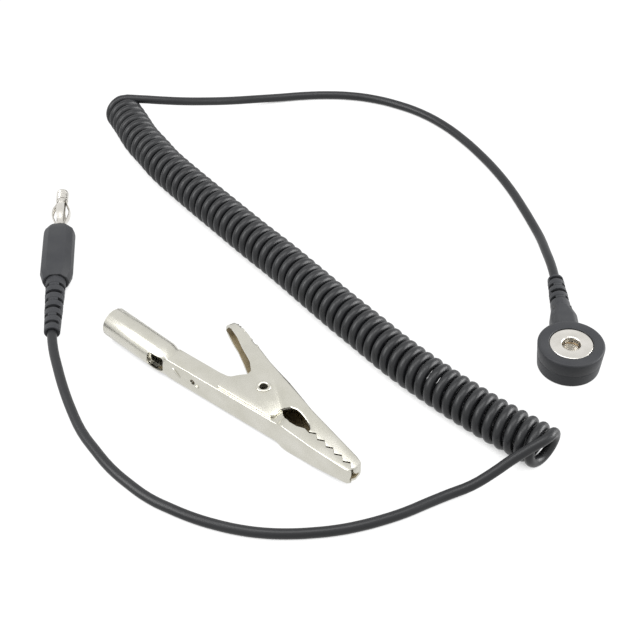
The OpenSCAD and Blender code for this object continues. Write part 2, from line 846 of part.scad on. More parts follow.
module clip_spring() {
    leg_l = 7.6;
    last = 360 * spring_turns - spring_leg_angle - 25;
    color(nickel)
        on_clip()
            tube(concat([spring_leg(-spring_leg_angle, leg_l, -1)], spring_coil(-spring_leg_angle, last)), spring_d / 2, 8);
}

module clip_spring_arm() {
    leg_l = 16;
    first = 360 * spring_turns - spring_leg_angle - 10;
    last = 360 * spring_turns + spring_leg_angle;
    color(nickel)
        on_clip()
            tube(concat(spring_coil(first, last), [spring_leg(last, leg_l, 1)]), spring_d / 2, 8);
}

snap_overmould();
snap_inner_tray();
snap_socket();
snap_spring();
snap_eyelet();
snap_terminal();
snap_resistor();
snap_resistor_leads();
snap_splice();
snap_ferrule();
snap_conductor();
cord_snap_lead();
cord_coil();
cord_plug_lead();
plug_strain_relief();
plug_grip();
plug_inner_mould();
plug_ferrule();
plug_conductor();
plug_pin();
plug_spring_cage();
clip_lower_jaw();
clip_rivet();
clip_spring();
clip_upper_jaw();
clip_spring_arm();
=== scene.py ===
"""Looks of the coiled grounding cord: snap socket end, banana plug end and loose alligator clip.

Shapes are drawn in millimetres and scaled to metres as they are finished.
"""

import json
import math

import bmesh
import bpy
from mathutils import Matrix, Vector


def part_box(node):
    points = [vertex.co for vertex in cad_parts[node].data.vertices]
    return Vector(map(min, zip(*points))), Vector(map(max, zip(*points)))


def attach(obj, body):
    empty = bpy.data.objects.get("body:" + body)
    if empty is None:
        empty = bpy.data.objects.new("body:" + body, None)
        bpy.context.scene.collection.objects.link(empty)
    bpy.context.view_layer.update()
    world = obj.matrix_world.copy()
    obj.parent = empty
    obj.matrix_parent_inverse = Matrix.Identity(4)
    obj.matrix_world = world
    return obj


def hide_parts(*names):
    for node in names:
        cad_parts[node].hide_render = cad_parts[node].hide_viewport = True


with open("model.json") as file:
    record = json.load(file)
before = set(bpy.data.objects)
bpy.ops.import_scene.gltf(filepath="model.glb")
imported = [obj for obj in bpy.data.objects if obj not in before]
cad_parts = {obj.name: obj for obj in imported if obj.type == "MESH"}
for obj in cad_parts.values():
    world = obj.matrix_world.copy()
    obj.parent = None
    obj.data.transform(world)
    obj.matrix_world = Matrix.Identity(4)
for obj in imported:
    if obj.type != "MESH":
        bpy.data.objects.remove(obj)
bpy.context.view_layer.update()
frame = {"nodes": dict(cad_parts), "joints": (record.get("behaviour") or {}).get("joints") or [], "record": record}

MM = 0.001
UP = Vector((0, 0, 1))
SCENE = bpy.context.scene
MOUNTS = {mount["name"]: mount for mount in frame["record"]["mounts"]}
JOINTS = {joint["name"]: joint for joint in frame["joints"]}


def node_box(name):
    """Lowest and highest corner of a CAD node, in millimetres."""
    low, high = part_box(name)
    return low / MM, high / MM


# ---------- camera ----------

VIEW_ELEVATION = 42
VIEW_DISTANCE = 332.3
VIEW_CENTRE = Vector((-57.2, 15.6, 0))
LENS = 78.19


def make_camera():
    """Looks along +Y and down onto the surface that everything lies on."""
    tilt = math.radians(VIEW_ELEVATION)
    data = bpy.data.cameras.new("camera")
    data.lens = LENS
    data.clip_start = 0.01
    camera = bpy.data.objects.new("camera", data)
    back = Vector((0, -math.cos(tilt), math.sin(tilt)))
    camera.location = (VIEW_CENTRE + VIEW_DISTANCE * back) * MM
    camera.rotation_euler = (math.pi / 2 - tilt, 0, 0)
    SCENE.collection.objects.link(camera)
    SCENE.camera = camera


make_camera()

# ---------- places ----------

plug_axis = Vector(MOUNTS["banana_nose"]["axis"])
# From the cord's exit to the middle of the nose
PLUG_NOSE_AT = 52.35
plug_exit = Vector(MOUNTS["banana_nose"]["pos_m"]) / MM - PLUG_NOSE_AT * plug_axis
clip_along = Vector(MOUNTS["clip_jaws"]["axis"])
clip_pivot = Vector(JOINTS["jaw_hinge"]["pos_m"]) / MM


def axes(x, y, z, origin):
    """Placement that takes a drawing's own X, Y and Z to these directions."""
    turn = Matrix((x, y, z)).transposed().to_4x4()
    return Matrix.Translation(origin) @ turn


# Drawings of the plug: Z runs from the cord's exit to the nose, Y is up
PLUG = axes(UP.cross(plug_axis), UP, plug_axis, plug_exit)
# Drawings of the clip: X runs to the tips, Y to the thumb tab, Z is up, the rivet is at 0, 0
CLIP = axes(clip_along, UP.cross(clip_along), UP, clip_pivot)
# Drawings of the snap end's neck: Z runs from the head along the neck, Y is up
NECK_AXIS_Z = 3.4
NECK = axes(Vector((-1, 0, 0)), UP, Vector((0, 1, 0)), Vector((0, 0, NECK_AXIS_Z)))

# ---------- the cord ----------

CORD_D = 2.3
COIL_OD = 10.1
COIL_TURNS = 62
POINTS_A_TURN = 16
r = CORD_D / 2
coil_axis_z = COIL_OD / 2
coil_turn_r = (COIL_OD - CORD_D) / 2
# Where the jacket leaves the snap end's relief, and where it starts and ends inside the mouldings
SNAP_EXIT_Y = 26.5
SNAP_JACKET_START = 13.05
PLUG_JACKET_END = 24.8

# The coil's axis over the surface, from the snap lead's end to the plug lead's
COIL_AXIS = [
    (-112.5, 97.5), (-109.5, 91.5), (-106, 84), (-102, 77.5), (-98, 71), (-90, 60.5),
    (-82, 50.5), (-74, 40.5), (-66.5, 31.5), (-59.5, 22.5), (-52.5, 13.5), (-46, 5.5),
    (-39.5, -2.5), (-33, -9.5), (-26.5, -16), (-20, -22), (-13.7, -27.2), (-9.1, -31),
]

# Centre line of each lead, from its relief to the coil's top
SNAP_ROUTE = [
    (-0.2, 32.5, 3.1), (-0.7, 39, 2.3), (-1.2, 45, 1.5), (-2.5, 51.5, r), (-4.3, 58.5, r),
    (-6.5, 66, r), (-9.5, 74, r), (-13, 81.5, r), (-17.5, 89.5, r),
    (-22.5, 96.5, r), (-28.5, 102.5, r), (-34.5, 106.5, r), (-41, 109.5, r),
    (-48, 111.3, r), (-55, 111.8, r), (-62, 111.4, r), (-69, 110.2, 1.3),
    (-75.5, 108.5, 1.9), (-82.5, 106, 3), (-89, 103.2, 4.6), (-95.5, 100.6, 6.3),
    (-102, 98.8, 7.8), (-107.5, 98, 8.7),
]

PLUG_ROUTE = [
    (-118.6, 2, 3.1), (-116.9, -3.6, 2.7), (-114.8, -9.7, 2.1), (-112.3, -15.8, 1.5),
    (-109.3, -22, r), (-105.6, -27.6, r), (-101.8, -32.7, r), (-97.3, -37.3, r), (-92.7, -41.2, r),
    (-88, -44, r), (-83, -46.5, r), (-78.5, -48.2, r), (-73.5, -49.6, r),
    (-68.5, -50.4, r), (-63.5, -50.6, r), (-58.5, -50.3, r), (-53.5, -49.6, r),
    (-49, -48.5, r), (-44.5, -47, r), (-39.5, -44.9, r), (-35, -42.5, r),
    (-30.3, -40.2, 1.3), (-25.5, -38.4, 2), (-21, -36.4, 3.7), (-17, -34.6, 5.8),
    (-12.9, -33.1, 7.9),
]


def smooth_line(points, per_span=12):
    """Points along a smooth curve through the given ones, and the length up to each."""
    ends = [2 * points[0] - points[1]] + points + [2 * points[-1] - points[-2]]
    line = []
    for a, b, c, d in zip(ends, ends[1:], ends[2:], ends[3:]):
        for k in range(per_span):
            t = k / per_span
            line.append(
                0.5 * (2 * b + (c - a) * t + (2 * a - 5 * b + 4 * c - d) * t * t
                       + (3 * b - a - 3 * c + d) * t ** 3)
            )
    line.append(points[-1])
    reach = [0.0]
    for a, b in zip(line, line[1:]):
        reach.append(reach[-1] + (b - a).length)
    return line, reach


def helix_points():
    """Centre line of the coil: a right-handed helix along its axis, from its top to its top."""
    line, reach = smooth_line([Vector((x, y, coil_axis_z)) for x, y in COIL_AXIS])
    points = []
    i = 0
    count = COIL_TURNS * POINTS_A_TURN
    for k in range(count + 1):
        at = reach[-1] * k / count
        while i < len(line) - 2 and reach[i + 1] < at:
            i += 1
        along = (line[i + 1] - line[i]).normalized()
        centre = line[i] + along * (at - reach[i])
        turn = 2 * math.pi * k / POINTS_A_TURN
        spoke = math.cos(turn) * UP + math.sin(turn) * along.cross(UP)
        points.append(centre + coil_turn_r * spoke)
    return points


def curve_length(points):
    return sum((b - a).length for a, b in zip(points, points[1:]))


def make_cord():
    """The whole cord as one curve, from inside the snap end's neck to inside the plug's grip."""
    snap_lead = [(0, SNAP_JACKET_START, NECK_AXIS_Z), (0, SNAP_EXIT_Y, NECK_AXIS_Z)] + SNAP_ROUTE
    plug_lead = [Vector(p) for p in reversed(PLUG_ROUTE)]
    plug_lead += [plug_exit, plug_exit + PLUG_JACKET_END * plug_axis]
    points = [Vector(p) for p in snap_lead] + helix_points() + plug_lead
    curve = bpy.data.curves.new("cord", "CURVE")
    curve.dimensions = "3D"
    curve.resolution_u = 3
    curve.bevel_depth = r * MM
    curve.bevel_resolution = 6
    curve.use_fill_caps = True
    spline = curve.splines.new("BEZIER")
    spline.bezier_points.add(len(points) - 1)
    for knot, point in zip(spline.bezier_points, points):
        knot.co = point * MM
        knot.handle_left_type = knot.handle_right_type = "AUTO"
    cord = bpy.data.objects.new("cord", curve)
    SCENE.collection.objects.link(cord)
    return cord, curve_length(points)


cord, cord_length = make_cord()

# ---------- materials ----------


def srgb(code):
    """Linear colour of an sRGB hex value."""
    parts = [int(code[i:i + 2], 16) / 255 for i in (1, 3, 5)]
    return [c / 12.92 if c <= 0.04045 else ((c + 0.055) / 1.055) ** 2.4 for c in parts] + [1]


def add(tree, kind, inputs=None, **settings):
    """Adds a node. Its inputs are values, or the sockets that feed them."""
    made = tree.nodes.new(kind)
    for name, value in settings.items():
        setattr(made, name, value)
    for name, value in (inputs or {}).items():
        if isinstance(value, bpy.types.NodeSocket):
            tree.links.new(value, made.inputs[name])
        else:
            made.inputs[name].default_value = value
    return made


def per_mm(size):
    """Scale at which a pattern on Object coordinates repeats about every so many millimetres."""
    return 1 / (size * MM)


def new_material(name):
    material = bpy.data.materials.new(name)
    material.use_nodes = True
    tree = material.node_tree
    shader = tree.nodes["Principled BSDF"]
    place = add(tree, "ShaderNodeTexCoord").outputs["Object"]
    return material, tree, shader, place


def two_tones(tree, factor, dark, light, low=0.3, high=0.7):
    """Colour that runs from dark to light as factor goes from low to high."""
    ramp = add(tree, "ShaderNodeValToRGB", {"Fac": factor})
    ramp.color_ramp.elements[0].position = low
    ramp.color_ramp.elements[0].color = srgb(dark)
    ramp.color_ramp.elements[1].position = high
    ramp.color_ramp.elements[1].color = srgb(light)
    return ramp.outputs["Color"]


def noise(tree, place, size, detail, roughness=0.5):
    """Noise that varies over about so many millimetres."""
    made = add(tree, "ShaderNodeTexNoise", {
        "Vector": place, "Scale": per_mm(size), "Detail": detail, "Roughness": roughness,
    })
    return made.outputs["Fac"]


def spread(tree, value, low, high, start=0.0, end=1.0):
    """A value that runs from start to end, made to run from low to high."""
    made = add(tree, "ShaderNodeMapRange", {
        "Value": value, "From Min": start, "From Max": end, "To Min": low, "To Max": high,
    })
    return made.outputs["Result"]


def painted_groove_shade(tree, colour, reach):
    """Paints shade into a colour: darkens it where less of the surroundings is open within reach, in millimetres.
    """
    sky = add(tree, "ShaderNodeAmbientOcclusion", {"Distance": reach * MM}, samples=8).outputs["AO"]
    share = spread(tree, sky, 0.1, 1.0, 0.35, 0.85)
    darker = add(tree, "ShaderNodeVectorMath", {0: colour, 1: share}, operation="MULTIPLY")
    return darker.outputs[0]


def wire(tree, shader, colour, rough, height, strength, depth):
    """Feeds the shader its colour, its roughness and a bump of so many millimetres."""
    bump = add(tree, "ShaderNodeBump", {
        "Height": height, "Strength": strength, "Distance": depth * MM,
    })
    tree.links.new(colour, shader.inputs["Base Color"])
    tree.links.new(rough, shader.inputs["Roughness"])
    tree.links.new(bump.outputs["Normal"], shader.inputs["Normal"])


def moulded_pvc():
    """Flexible PVC from a finely spark-eroded mould: satin, with a fine grain and dull clouds, and painted shade
    in its grooves and hollows.
    """
    material, tree, shader, place = new_material("moulded_pvc")
    clouds = noise(tree, place, 6, 3.0)
    grain = noise(tree, place, 0.22, 2.0)
    # Painted shade: the colour darkens where grooves and hollows close in
    colour = painted_groove_shade(tree, two_tones(tree, clouds, "#36373a", "#3e3f41"), 1.2)
    wire(tree, shader, colour, spread(tree, clouds, 0.42, 0.54), grain, 0.25, 0.02)
    shader.inputs["IOR"].default_value = 1.45
    shader.inputs["Specular IOR Level"].default_value = 0.24
    return material


def extruded_polyurethane():
    """Extruded polyurethane jacket: smooth satin, a soft sheen, slow shallow waves of the die."""
    material, tree, shader, place = new_material("extruded_polyurethane")
    clouds = noise(tree, place, 9, 2.0)
    skin = noise(tree, place, 0.5, 3.0)
    colour = two_tones(tree, clouds, "#1b1c1e", "#232426")
    wire(tree, shader, colour, spread(tree, skin, 0.33, 0.45), skin, 0.15, 0.02)
    shader.inputs["IOR"].default_value = 1.5
    shader.inputs["Specular IOR Level"].default_value = 0.38
    return material


def plated_metal(name, dark, light, rough_low, rough_high, patch, pits):
    """A plated or bare metal: slow changes of tone over patches, fine pits or drawing marks."""
    material, tree, shader, place = new_material(name)
    tone = noise(tree, place, patch, 3.0)
    marks = noise(tree, place, pits, 4.0, 0.6)
    colour = two_tones(tree, tone, dark, light)
    rough = spread(tree, marks, rough_low, rough_high, 0.3, 0.7)
    wire(tree, shader, colour, rough, marks, 0.2, 0.01)
    shader.inputs["Metallic"].default_value = 1.0
    return material


def moulded_polypropylene():
    """Stiff moulded polypropylene, hidden in the neck and the grip: plain, slightly waxy."""
    material, tree, shader, place = new_material("moulded_polypropylene")
    colour = two_tones(tree, noise(tree, place, 2, 2.0), "#2b2b2c", "#353536")
    tree.links.new(colour, shader.inputs["Base Color"])
    shader.inputs["Roughness"].default_value = 0.45
    shader.inputs["IOR"].default_value = 1.49
    return material


def dipped_enamel():
    """Dipped enamel of a resistor: glossy tan with the painted rings of its value along it."""
    material, tree, shader, place = new_material("dipped_enamel")
    low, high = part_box("snap_resistor")
    apart = add(tree, "ShaderNodeSeparateXYZ", {"Vector": place})
    along = spread(tree, apart.outputs["Y"], 0.0, 1.0, low.y, high.y)
    ramp = add(tree, "ShaderNodeValToRGB", {"Fac": along})
    ramp.color_ramp.interpolation = "CONSTANT"
    tan, brown, black, green, gold = "#c2a67a", "#6b3f22", "#1c1b1a", "#2f6b3a", "#b08a3a"
    rings = [(0.0, tan), (0.14, brown), (0.24, tan), (0.34, black), (0.44, tan), (0.54, green),
             (0.64, tan), (0.8, gold), (0.9, tan)]
    ramp.color_ramp.elements[0].color = srgb(rings[0][1])
    ramp.color_ramp.elements[1].position = rings[-1][0]
    ramp.color_ramp.elements[1].color = srgb(rings[-1][1])
    for position, code in rings[1:-1]:
        ramp.color_ramp.elements.new(position).color = srgb(code)
    tree.links.new(ramp.outputs["Color"], shader.inputs["Base Color"])
    shader.inputs["Roughness"].default_value = 0.22
    shader.inputs["IOR"].default_value = 1.52
    return material


PVC = moulded_pvc()
JACKET = extruded_polyurethane()
POLYPROPYLENE = moulded_polypropylene()
ENAMEL = dipped_enamel()
# Satin bright nickel on turned brass
NICKEL = plated_metal("nickel_plated_brass", "#d0cdc6", "#dedbd5", 0.2, 0.32, 2.5, 0.15)
# Barrel-plated nickel on stamped steel, a warm and slightly dull satin
CLIP_NICKEL = plated_metal("nickel_plated_steel", "#c6c4b9", "#d0cec5", 0.24, 0.36, 5, 0.2)
# The same plating inside the folds, where it is thin, brownish and dull, and painted darker as shade for the
# inside of the folds
CLIP_INSIDE_SHADED = plated_metal("thin_nickel_and_painted_shade_in_the_folds", "#8a7d61", "#9a8d70", 0.5, 0.65, 3, 0.2)
CLIP_INSIDE_SHADED.node_tree.nodes["Principled BSDF"].inputs["Metallic"].default_value = 0.3
# Bare drawn or dipped metals of the hidden pieces
BRONZE = plated_metal("drawn_phosphor_bronze", "#b59a74", "#c2a985", 0.25, 0.4, 1.5, 0.1)
TIN = plated_metal("tinned_brass", "#b3ad99", "#c4bfad", 0.35, 0.5, 1, 0.1)
SPRING_STEEL = plated_metal("bright_spring_steel", "#9b9a94", "#adaca6", 0.25, 0.35, 1.5, 0.1)

# ---------- drawing ----------

# Faces that meet at more than so many degrees are shaded with a sharp edge between them
SHARP = 32
# Bevel of a crisp moulded or cut edge
CRISP = 0.07


def arc(centre, radius, start, end, steps=6):
    """Points on an arc about a centre, angles in degrees."""
    turns = [math.radians(start + (end - start) * k / steps) for k in range(steps + 1)]
    return [(centre[0] + radius * math.cos(t), centre[1] + radius * math.sin(t)) for t in turns]


def lathe(profile, steps=64, closed=True):
    """Solid of revolution about Z from a profile of (radius, height) points."""
    bm = bmesh.new()
    verts = [bm.verts.new((x, 0, z)) for x, z in profile]
    pairs = list(zip(verts, verts[1:]))
    if closed:
        pairs.append((verts[-1], verts[0]))
    edges = [bm.edges.new(pair) for pair in pairs]
    bmesh.ops.spin(
        bm, geom=verts + edges, cent=(0, 0, 0), axis=(0, 0, 1), angle=2 * math.pi, steps=steps,
        use_merge=True,
    )
    tidy(bm)
    return bm


def tidy(bm, distance=0.0005):
    """Merges doubled points and turns all faces outwards."""
    bmesh.ops.remove_doubles(bm, verts=bm.verts, dist=distance)
    bmesh.ops.dissolve_degenerate(bm, edges=bm.edges, dist=distance / 10)
    bmesh.ops.recalc_face_normals(bm, faces=bm.faces)


def bevel(bm, edges, width, segments, profile=0.5):
    bmesh.ops.bevel(
        bm, geom=edges, offset=width, offset_type="OFFSET", segments=segments, profile=profile,
        affect="EDGES", clamp_overlap=True, material=-1,
    )


def soften(bm, width, angle, segments=2):
    """Bevels the edges that turn by more than an angle."""
    limit = math.radians(angle)
    sharp = [e for e in bm.edges if len(e.link_faces) == 2 and e.calc_face_angle() > limit]
    bevel(bm, sharp, width, segments)


def as_object(bm, name, empty_slots=0):
    """Object of a drawing. Empty slots keep apart faces that get different materials later."""
    mesh = bpy.data.meshes.new(name)
    bm.to_mesh(mesh)
    bm.free()
    for _ in range(empty_slots):
        mesh.materials.append(None)
    made = bpy.data.objects.new(name, mesh)
    SCENE.collection.objects.link(made)
    return made


def evaluated(made):
    """The mesh of an object with its modifiers applied, as a new drawing. The object is removed."""
    bpy.context.view_layer.update()
    graph = bpy.context.evaluated_depsgraph_get()
    mesh = bpy.data.meshes.new_from_object(made.evaluated_get(graph))
    bm = bmesh.new()
    bm.from_mesh(mesh)
    bpy.data.meshes.remove(mesh)
    bpy.data.objects.remove(made)
    return bm


def combine(bm, other, operation):
    """Boolean of two closed drawings."""
    base = as_object(bm, "base", 2)
    tool = as_object(other, "tool", 2)
    modifier = base.modifiers.new("combine", "BOOLEAN")
    modifier.operation = operation
    modifier.solver = "EXACT"
    modifier.object = tool
    result = evaluated(base)
    bpy.data.objects.remove(tool)
    return result


def join(bm, other):
    """Takes another closed drawing into this one as it is."""
    mesh = bpy.data.meshes.new("joined")
    other.to_mesh(mesh)
    other.free()
    bm.from_mesh(mesh)
    bpy.data.meshes.remove(mesh)


def piece(bm, name, material, body, place=Matrix(), replaces=(), inside=None):
    """Finishes a drawing as a piece: puts it in place in metres, shades it, hangs it on its body and hides the CAD
    nodes it replaces.
    """
    bmesh.ops.transform(bm, matrix=Matrix.Scale(MM, 4) @ place, verts=bm.verts)
    limit = math.radians(SHARP)
    for face in bm.faces:
        face.smooth = True
    for edge in bm.edges:
        edge.smooth = len(edge.link_faces) == 2 and edge.calc_face_angle() < limit
    made = as_object(bm, name)
    made.data.materials.append(material)
    if inside:
        made.data.materials.append(inside)
    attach(made, body)
    if replaces:
        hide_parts(*replaces)
    return made


# ---------- strain reliefs ----------

# Tapered, with broken grooves down to a thin wall round the jacket
RELIEF_ROOT_R = 2.45
RELIEF_TIP_R = 1.9
RIB_GROOVE_W = 1.0
RIB_FLOOR_R = CORD_D / 2 + 0.22
RIB_BRIDGE_W = 1.5
BORE_R = CORD_D / 2 + 0.03


def ribbed_relief(length, first, pitch):
    """Relief along Z, tip at 0. By turns a groove is bridged at the sides, or above and below."""
    draft = 0.1
    lip = 0.3

    def cone(z):
        return RELIEF_TIP_R + (RELIEF_ROOT_R - RELIEF_TIP_R) * z / length

    profile = [(BORE_R, 0), (RELIEF_TIP_R - lip, 0)]
    profile += arc((RELIEF_TIP_R - lip, lip), lip, -60, 0, 3)
    grooves = []
    z = first
    while z < length - RIB_GROOVE_W:
        low, high = z - RIB_GROOVE_W / 2, z + RIB_GROOVE_W / 2
        profile += [(cone(low), low), (RIB_FLOOR_R, low + draft)]
        profile += [(RIB_FLOOR_R, high - draft), (cone(high), high)]
        grooves.append((low, high))
        z += pitch
    profile += [(cone(length), length), (BORE_R, length)]
    bm = lathe(profile, 72)
    for vert in bm.verts:
        if math.hypot(vert.co.x, vert.co.y) > RIB_FLOOR_R + 0.01:
            continue
        for i, (low, high) in enumerate(grooves):
            if low < vert.co.z < high and math.hypot(vert.co.x, vert.co.y) > BORE_R + 0.1:
                off_bridge = abs(vert.co.x if i % 2 else vert.co.y)
                if off_bridge < RIB_BRIDGE_W / 2:
                    flat = Vector((vert.co.x, vert.co.y, 0)).normalized() * cone(vert.co.z)
                    vert.co = Vector((flat.x, flat.y, vert.co.z))
    soften(bm, CRISP, 45)
    return bm


# ---------- snap end ----------

_, head_high = node_box("snap_overmould")
disc_low, disc_high = node_box("snap_socket")
HEAD_R = head_high.x
HEAD_H = head_high.z
DISC_R = disc_high.x
DISC_TOP = disc_high.z
STUD_HOLE_R = MOUNTS["snap_socket"]["dims"]["r_mm"]
CUP_R = STUD_HOLE_R + 1.15
# The head's pocket: a ledge under the disc, and a round well for the cup
PLAY = 0.05
LEDGE_Z = DISC_TOP - 0.5
WELL_FLOOR_Z = 1.3
NECK_END = 15
SNAP_RELIEF_L = SNAP_EXIT_Y - NECK_END


def chamfered_loop(bm, width, height, chamfer, z):
    """Closed loop of edges: a rectangle with chamfered corners at height z."""
    w, h, c = width / 2, height / 2, chamfer
    corners = [
        (w - c, -h), (w, c - h), (w, h - c), (w - c, h),
        (c - w, h), (-w, h - c), (-w, c - h), (c - w, -h),
    ]
    verts = [bm.verts.new((x, y, z)) for x, y in corners]
    return [bm.edges.new(pair) for pair in zip(verts, verts[1:] + verts[:1])]


def loft(bm, loops):
    """Bridges loops one after the other and closes both ends."""
    for a, b in zip(loops, loops[1:]):
        bmesh.ops.bridge_loops(bm, edges=a + b)
    for ends in (loops[0], loops[-1]):
        bmesh.ops.contextual_create(bm, geom=ends)
    tidy(bm)


def snap_head():
    """Round head of the snap end, with the ledge that the disc sits on and a faint parting line."""
    edge = 0.55
    rim = 0.25
    draft = 0.5
    parting = HEAD_H * 0.48
    parting_depth = 0.07
    side = HEAD_R - 0.5 * draft
    profile = [(0, 0), (HEAD_R - draft - edge, 0)]
    profile += arc((HEAD_R - draft - edge, edge), edge, -72, 0, 4)
    profile += [(side, parting - 0.1), (side - parting_depth, parting), (side, parting + 0.1)]
    profile += arc((HEAD_R - edge, HEAD_H - edge), edge, 0, 90, 5)
    profile += arc((DISC_R + 0.3, HEAD_H - rim), rim, 90, 180, 3)
    profile += [(DISC_R + PLAY, LEDGE_Z), (CUP_R + PLAY, LEDGE_Z), (CUP_R + PLAY, WELL_FLOOR_Z)]
    profile += [(0, WELL_FLOOR_Z)]
    return lathe(profile, 128)


def snap_neck():
    """Neck from the head to the strain relief, wide and flat-topped, then tapered."""
    bm = bmesh.new()
    # Place along the neck, width, height, chamfer
    stations = [
        (0, 6.4, 5.6, 1.1), (11.6, 6.3, 5.5, 1.15), (12.4, 6.1, 5.3, 1.2),
        (14.6, 5.05, 4.95, 1.4), (NECK_END + 0.3, 4.9, 4.9, 1.4),
    ]
    loft(bm, [chamfered_loop(bm, w, h, c, z) for z, w, h, c in stations])
    soften(bm, 0.35, 25, 3)
    bmesh.ops.transform(bm, matrix=NECK, verts=bm.verts)
    return bm


def snap_overmould():
    """Head, neck and relief in one, with room for the tray and the cup."""
    relief = ribbed_relief(SNAP_RELIEF_L, 1.3, 2.4)
    flip = Matrix.Translation((0, 0, SNAP_EXIT_Y)) @ Matrix.Rotation(math.pi, 4, "Y")
    bmesh.ops.transform(relief, matrix=NECK @ flip, verts=relief.verts)
    pocket = bmesh.new()
    low, high = node_box("snap_inner_tray")
    middle = (low + high) / 2
    size = high - low + Vector((0.1, 0.1, 0.1))
    place = Matrix.Translation(middle) @ Matrix.Diagonal(size).to_4x4()
    bmesh.ops.create_cube(pocket, size=1, matrix=place)
    neck = combine(snap_neck(), pocket, "DIFFERENCE")
    well_r, above = CUP_R + PLAY, HEAD_H + 1
    cup = lathe([(0, WELL_FLOOR_Z), (well_r, WELL_FLOOR_Z), (well_r, above), (0, above)], 96)
    neck = combine(neck, cup, "DIFFERENCE")
    whole = combine(snap_head(), neck, "UNION")
    whole = combine(whole, relief, "UNION")
    tidy(whole)
    piece(
        whole, "snap_end_moulding", PVC, "cord_set", replaces=["snap_overmould"],
    )


def snap_disc():
    """Plated disc with a rolled rim, a low ring round the stud hole and the cup below."""
    top, hole = DISC_TOP, STUD_HOLE_R
    rim, lip, dish, ring = 0.25, 0.35, 0.07, hole + 0.55
    eyelet_r = 0.85
    hole_end = top - 1.5
    spring_room_r = hole + 0.8
    cup_floor = disc_low.z + 0.4
    profile = [(eyelet_r, disc_low.z), (CUP_R, disc_low.z), (CUP_R, LEDGE_Z)]
    profile += [(DISC_R - 0.1, LEDGE_Z)]
    profile += arc((DISC_R - rim, top - rim), rim, 0, 90, 5)
    profile += [(DISC_R - 0.55, top - 0.01), (DISC_R - 0.85, top - dish), (ring + 0.35, top - dish)]
    profile += [(ring + 0.1, top - 0.02), (ring - 0.1, top)]
    profile += arc((hole + lip, top - lip), lip, 90, 180, 5)
    profile += [(hole, hole_end), (spring_room_r, hole_end), (spring_room_r, cup_floor)]
    profile += [(eyelet_r, cup_floor)]
    piece(
        lathe(profile, 128), "snap_disc", NICKEL, "cord_set",
        replaces=["snap_socket"],
    )


snap_overmould()
snap_disc()

# ---------- banana plug ----------

PLUG_RELIEF_L = 18.2
GRIP_L = 20.6
GRIP_START = PLUG_RELIEF_L
GRIP_END = GRIP_START + GRIP_L
GRIP_W = 8.1
GRIP_H = 6.4
COLLAR_END = GRIP_END + 1.2
CAGE_START = COLLAR_END + 0.1
CAGE_L = 10.6
CAGE_END = CAGE_START + CAGE_L
CAGE_R = 2.45
NOSE_START = CAGE_END + 0.1
NOSE_L = 3.8
NOSE_R = 1.55
PIN_NECK_R = 1.05
LEAF_T = 0.25
LEAF_W = 1.85
# The relief's tongue inside the grip, and the hard core in front of it
TONGUE_L = 2.2
TONGUE_R = 2.15
CORE_R = 2.2
CORE_SETBACK = 1.8
PIN_FLANGE_R = 1.7


def grip_loop(bm, z, scale_w, scale_h):
    """Loop of the grip's section: flats above and below, drafted sides to the parting line."""
    w, h = GRIP_W / 2 * scale_w, GRIP_H / 2 * scale_h
    quarter = [(w, 0), (w - 0.45, h - 1.3), (w - 1.9, h)]
    half = quarter + [(-x, y) for x, y in reversed(quarter)]
    points = half + [(x, -y) for x, y in reversed(half[1:-1])]
    verts = [bm.verts.new((x, y, z)) for x, y in points]
    return [bm.edges.new(pair) for pair in zip(verts, verts[1:] + verts[:1])]


def plug_grip():
    """Chamfered grip with rounded shoulders, hollow for the tongue, the core and the pin."""
    bm = bmesh.new()
    rear, front = GRIP_START, GRIP_END
    # Place along the plug, share of the full width, share of the full height
    stations = [
        (rear, 0.8, 0.84), (rear + 1.6, 0.9, 0.93), (rear + 3.2, 1, 1), (front - 2.8, 1, 1),
        (front - 1.5, 0.95, 0.94), (front - 0.7, 0.84, 0.85), (front - 0.15, 0.72, 0.74),
        (front, 0.62, 0.64),
    ]
    loft(bm, [grip_loop(bm, *station) for station in stations])
    soften(bm, 0.4, 22, 3)
    mouth_r, core_start, core_end = 2.5, rear + TONGUE_L, front - CORE_SETBACK
    hollow = lathe([
        (0, rear - 1), (mouth_r, rear - 1), (mouth_r, core_start), (CORE_R, core_start),
        (CORE_R, core_end), (PIN_FLANGE_R + PLAY, core_end), (PIN_FLANGE_R + PLAY, front + 1),
        (0, front + 1),
    ], 72)
    bm = combine(bm, hollow, "DIFFERENCE")
    tidy(bm)
    return piece(
        bm, "plug_grip_moulding", PVC, "cord_set", PLUG, ["plug_grip"],
    )


def plug_relief():
    """Relief and the tongue on it that the grip is moulded over."""
    bm = ribbed_relief(PLUG_RELIEF_L, 2.1, 2.65)
    start, end = PLUG_RELIEF_L - 0.01, PLUG_RELIEF_L + TONGUE_L
    tongue = lathe([(BORE_R, start), (TONGUE_R, start), (TONGUE_R, end), (BORE_R, end)], 72)
    bm = combine(bm, tongue, "UNION")
    tidy(bm)
    return piece(
        bm, "plug_relief_moulding", PVC, "cord_set", PLUG, ["plug_strain_relief"],
    )


